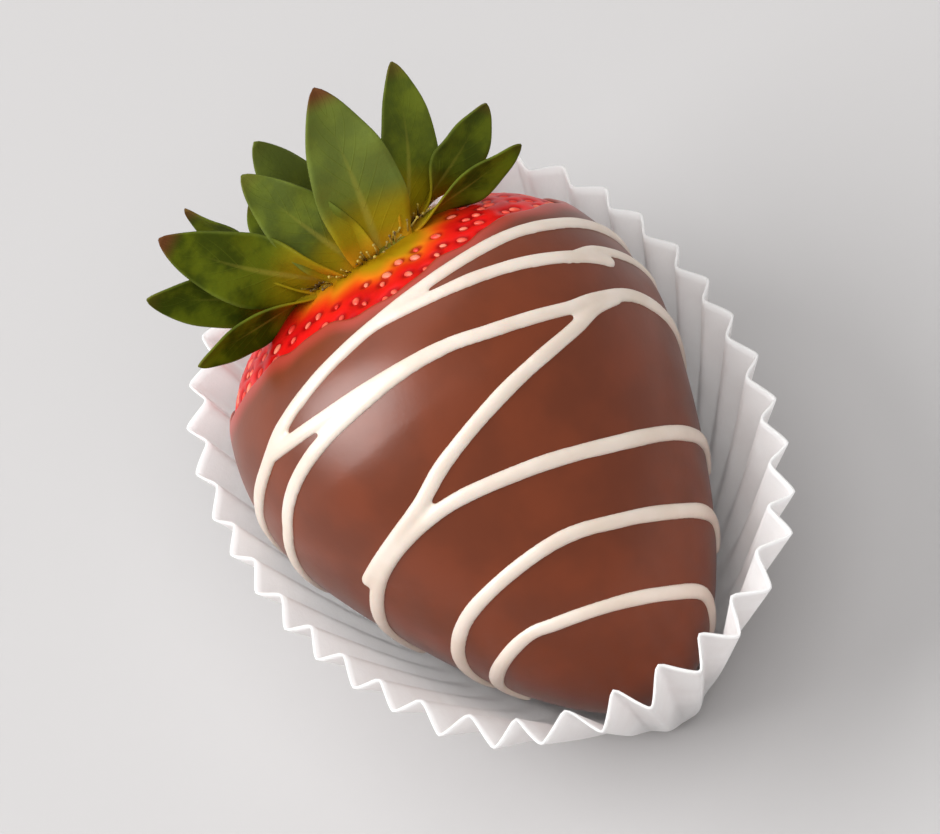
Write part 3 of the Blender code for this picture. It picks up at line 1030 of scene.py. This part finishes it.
# %% Milk chocolate
chocolate, tree, shader = new_material("milk chocolate", Roughness=0.36, Specular_IOR_Level=0.46)
tone = drifting(tree, (0.14, 0.024, 0.003), (0.178, 0.0305, 0.0045), 140.0)
thinned = layer(tree, tone, read_value(tree, "thin"), colour(0.42, 0.05, 0.03))
add_relief(tree, shader, grained(tree, 420.0, 2400.0, 0.25), 0.05 * MM, 0.5)
paint(coat, chocolate, thinned)

# %% [markdown]
# White chocolate is a warm cream and less glossy. It lets a little light in, which softens the
# small shadows along each line. A trace of subsurface light does that.

# %% White chocolate
white, tree, shader = new_material("white chocolate", Roughness=0.42, Subsurface_Weight=0.1)
shader.inputs["Subsurface Scale"].default_value = 0.001
tone = drifting(tree, (0.77, 0.65, 0.55), (0.83, 0.72, 0.63), 220.0)
add_relief(tree, shader, grained(tree, 700.0, 2600.0, 0.3), 0.06 * MM, 0.5)
paint(drizzle, white, tone)

# %% [markdown]
# Ripe flesh is a deep, wet red, with painted shade that darkens it down in the pits. Close to the neck
# it pales to orange and yellow, with a ragged border and one tongue that runs further down. That
# follows the distance from the crown's middle, so each point keeps it as a value of its own, and a
# colour ramp reads it.

# %% Red flesh
NECK_INNER = 6.2 * MM
NECK_OUTER = 12.5 * MM
crown_in = crown.inverted()
TONGUE_TURN = math.radians(78.0)  # where the unripe flesh runs furthest down
TONGUE_WIDTH = math.radians(20.0)
TONGUE_REACH = 1.8 * MM
NECK_RAGGED = 1.5 * MM
RAGGED_FINENESS = 5.0


def unripe(place):
    """1 at the leaves and 0 where the flesh is fully red."""
    beside = crown_in @ place
    turn = turn_of(beside)
    reach = beside.xy.length - TONGUE_REACH * math.exp(-(((turn - TONGUE_TURN) / TONGUE_WIDTH) ** 2))
    around = Vector((math.cos(turn), math.sin(turn), 0.0)) * RAGGED_FINENESS
    reach += NECK_RAGGED * noise.noise(around)
    return smoothstep((NECK_OUTER - reach) / (NECK_OUTER - NECK_INNER))


keep_value(flesh, "neck", [unripe(vert.co) for vert in flesh.data.vertices])

red, tree, shader = new_material("strawberry red", Roughness=0.36, Specular_IOR_Level=0.12)
tone = drifting(tree, (0.56, 0.003, 0.004), (0.8, 0.008, 0.007), 260.0)
near = read_value(tree, "neck")
ramp = add_node(tree, "ShaderNodeValToRGB")
ramp.color_ramp.elements[0].color = colour(0.8, 0.008, 0.004)
ramp.color_ramp.elements[1].color = colour(0.42, 0.25, 0.004)
ramp.color_ramp.elements.new(0.25).color = colour(0.86, 0.035, 0.004)
ramp.color_ramp.elements.new(0.5).color = colour(0.88, 0.13, 0.005)
ramp.color_ramp.elements.new(0.75).color = colour(0.78, 0.27, 0.008)
mixed = colour_mix(tree)
tree.links.new(near, ramp.inputs["Fac"])
tree.links.new(near, mixed.inputs[0])
tree.links.new(tone, mixed.inputs[6])
tree.links.new(ramp.outputs["Color"], mixed.inputs[7])
# painted shade: a darker red down in the pits, where shade falls between the swells
pit_shade = ranged(tree, read_value(tree, "pit"), 0.06, 0.55, 0.0, 0.8)
shaded = layer(tree, mixed.outputs[2], pit_shade, colour(0.34, 0.001, 0.003))
add_relief(tree, shader, grained(tree, 900.0, 3200.0, 0.3), 0.05 * MM, 0.5)
paint(flesh, red, shaded)

# %% [markdown]
# Unripe seeds are a light straw pink. The red of the flesh round them is painted onto them as a
# reflection, so their colour runs from straw pink to nearly red. The stamens run from dull brown to
# yellow.

# %% Seeds and stamens
straw, tree, shader = new_material("straw seed and painted glow", Roughness=0.45, Specular_IOR_Level=0.3)
# painted reflection: the seeds' straw pink turns nearly red where the flesh's red is painted onto them
tone = drifting(tree, (0.8, 0.04, 0.025), (0.9, 0.24, 0.14), 500.0)
paint(seeds, straw, tone)

dry, tree, shader = new_material("dry stamen", Roughness=0.7)
tone = drifting(tree, (0.09, 0.045, 0.006), (0.42, 0.32, 0.04), 420.0, Low=0.4, High=0.6)
paint(stamens, dry, tone)

# %% [markdown]
# A leaf is darkest on its blade. The middle vein and the side veins are paler, the margin is a thin
# line of lighter green, the base fades to yellow and orange, and some tips have dried brown. Leaves
# that the lamps leave in shade get painted light that lightens their faces. The values kept on every
# leaf point say where each goes, and the colours are laid over each other in turn.

# %% Leaf green
leaf_green, tree, shader = new_material("leaf green", Roughness=0.6, Specular_IOR_Level=0.04)
along = read_value(tree, "leaf_along")
across = do_math(tree, "ABSOLUTE", read_value(tree, "leaf_across"))
tone = drifting(tree, (0.032, 0.046, 0.001), (0.09, 0.113, 0.003), 360.0, Low=0.38, High=0.62)
# painted light: lightens the faces of leaves that the lamps leave in shade, away from the base
painted_light_mask = do_math(tree, "MULTIPLY", read_value(tree, "leaf_painted_light"), ranged(tree, along, 0.1, 0.5))
painted_light_mask = do_math(tree, "MULTIPLY", painted_light_mask, 0.65)
blade = layer(tree, tone, painted_light_mask, colour(0.15, 0.19, 0.04))
SIDE_VEINS = 9.0  # along a leaf
VEIN_SLANT = 3.0
slant = do_math(tree, "MULTIPLY", along, SIDE_VEINS)
slant = do_math(tree, "SUBTRACT", slant, do_math(tree, "MULTIPLY", across, VEIN_SLANT))
between = do_math(tree, "ABSOLUTE", do_math(tree, "SUBTRACT", do_math(tree, "FRACT", slant), 0.5))
side_veins = ranged(tree, between, 0.09, 0.0)
side_veins = do_math(tree, "MULTIPLY", side_veins, ranged(tree, across, 0.95, 0.3, 0.0, 0.3))
blade = layer(tree, blade, side_veins, colour(0.11, 0.14, 0.01))
margin = ranged(tree, across, 0.9, 0.99, 0.0, 0.25)
blade = layer(tree, blade, margin, colour(0.2, 0.24, 0.04))
yellow_base = ranged(tree, along, 0.4, 0.16, 0.0, 0.95)
blade = layer(tree, blade, yellow_base, colour(0.3, 0.23, 0.006))
orange_base = ranged(tree, along, 0.17, 0.03, 0.0, 0.6)
blade = layer(tree, blade, orange_base, colour(0.62, 0.26, 0.01))
vein_width = ranged(tree, along, 0.0, 0.9, 0.15, 0.02)
rib = ranged(tree, do_math(tree, "DIVIDE", across, vein_width), 1.1, 0.2)
rib = do_math(tree, "MULTIPLY", rib, ranged(tree, along, 0.8, 0.1, 0.0, 0.45))
blade = layer(tree, blade, rib, colour(0.36, 0.32, 0.05))
browned = read_value(tree, "leaf_brown")
browned = do_math(tree, "MULTIPLY", browned, ranged(tree, along, 0.86, 0.97))
blade = layer(tree, blade, browned, colour(0.12, 0.045, 0.015))
texture = grained(tree, 900.0, 2600.0, 0.4)
raised = do_math(tree, "ADD", texture, do_math(tree, "MULTIPLY", side_veins, 0.8))
add_relief(tree, shader, raised, 0.11 * MM, 0.8)
paint(leaves, leaf_green, blade)

# %% [markdown]
# The hub is the yellow-green of young leaf bases, with no veins to show.

# %% Hub green
hub_green, tree, shader = new_material("hub green", Roughness=0.5)
tone = drifting(tree, (0.26, 0.2, 0.015), (0.2, 0.22, 0.02), 300.0)
paint(hub, hub_green, tone)

# %% [markdown]
# The paper is matt and slightly warm, with short fibres. It is so thin that light comes through it
# and fills the folds, so all of its diffuse light is subsurface light, equal in every colour.

# %% White paper
paper, tree, shader = new_material("white paper", Roughness=0.8, Subsurface_Weight=1.0)
shader.inputs["Subsurface Radius"].default_value = (1.0, 1.0, 1.0)
shader.inputs["Subsurface Scale"].default_value = 0.0015
tone = drifting(tree, (0.87, 0.825, 0.815), (0.91, 0.875, 0.868), 190.0)
add_relief(tree, shader, grained(tree, 600.0, 3000.0, 0.5), 0.08 * MM, 0.5)
paint(case, paper, tone)

# %% [markdown]
# ## Studio
# The part lies on a plain pale floor, far larger than the picture, so that no edge of it shows.

# %% Floor
FLOOR_SIZE = 4.0
bpy.ops.object.select_all(action="DESELECT")
bpy.ops.mesh.primitive_plane_add(size=FLOOR_SIZE)
floor = new_piece("floor")
floor_paint, tree, shader = new_material("floor", Roughness=0.9)
shader.inputs["Base Color"].default_value = colour(0.5, 0.49, 0.49)
paint(floor, floor_paint)

# %% [markdown]
# One broad soft light comes from the left. A larger panel beside it shows only in reflections, for
# the wide shine on the chocolate. The overhead light fills the folds of the paper without a second
# shine, and a weak one lights the leaves from behind. The surround is even.

# %% Lights
CENTRE = Vector((0.0, 2.0 * MM, 20.0 * MM))


def soft_light(name, direction, distance, size, power):
    """A round light that faces the part from a direction."""
    data = bpy.data.lights.new(name, "AREA")
    data.shape = "DISK"
    data.size = size
    data.energy = power
    lamp = bpy.data.objects.new(name, data)
    bpy.context.scene.collection.objects.link(lamp)
    towards = Vector(direction).normalized()
    lamp.location = CENTRE + towards * distance
    lamp.rotation_euler = towards.to_track_quat("Z", "Y").to_euler()
    return lamp


soft_light("key light", (-0.68, 0.25, 0.7), distance=0.9, size=0.8, power=6.6)
sheen = soft_light("sheen panel", (-0.66, 0.2, 0.72), distance=1.0, size=1.0, power=14.0)
sheen.visible_diffuse = False
overhead = soft_light("overhead light", (0.0, -0.4, 0.9), distance=1.1, size=0.8, power=4.9)
overhead.visible_glossy = False
soft_light("back light", (0.1, 0.85, 0.7), distance=1.1, size=0.9, power=1.7)
world = bpy.data.worlds.new("surround")
world.use_nodes = True
backdrop = world.node_tree.nodes["Background"]
backdrop.inputs["Color"].default_value = colour(1.0, 0.99, 0.98)
backdrop.inputs["Strength"].default_value = 0.52
bpy.context.scene.world = world
bpy.context.scene.view_settings.view_transform = "Standard"
print("lights:", [lamp.name for lamp in bpy.data.lights])

# %% [markdown]
# The camera looks down at the fruit from in front of its tip, from far away with a long lens, as
# for a picture in a catalogue. It is rolled so that the tip points to the lower right.

# %% Camera
CAMERA_AZIMUTH = math.radians(-6.2)
CAMERA_ELEVATION = math.radians(54.0)
CAMERA_ROLL = math.radians(-30.8)
CAMERA_DISTANCE = 1.147
CAMERA_LENS = 490.0
CAMERA_AIM = Vector((0.1 * MM, 5.7 * MM, 22.7 * MM))

ahead = Vector((
    -math.sin(CAMERA_AZIMUTH) * math.cos(CAMERA_ELEVATION),
    math.cos(CAMERA_AZIMUTH) * math.cos(CAMERA_ELEVATION),
    -math.sin(CAMERA_ELEVATION),
))
right = ahead.cross(Vector((0.0, 0.0, 1.0))).normalized()
up = right.cross(ahead)
rolled_right = right * math.cos(CAMERA_ROLL) + up * math.sin(CAMERA_ROLL)
rolled_up = up * math.cos(CAMERA_ROLL) - right * math.sin(CAMERA_ROLL)
camera_data = bpy.data.cameras.new("camera")
camera_data.lens = CAMERA_LENS
camera_data.clip_start = 0.01
camera = bpy.data.objects.new("camera", camera_data)
bpy.context.scene.collection.objects.link(camera)
placed = Matrix((rolled_right, rolled_up, -ahead)).transposed().to_4x4()
placed.translation = CAMERA_AIM - ahead * CAMERA_DISTANCE
camera.matrix_world = placed
bpy.context.scene.camera = camera
print("camera mm:", in_mm(camera.matrix_world.translation))
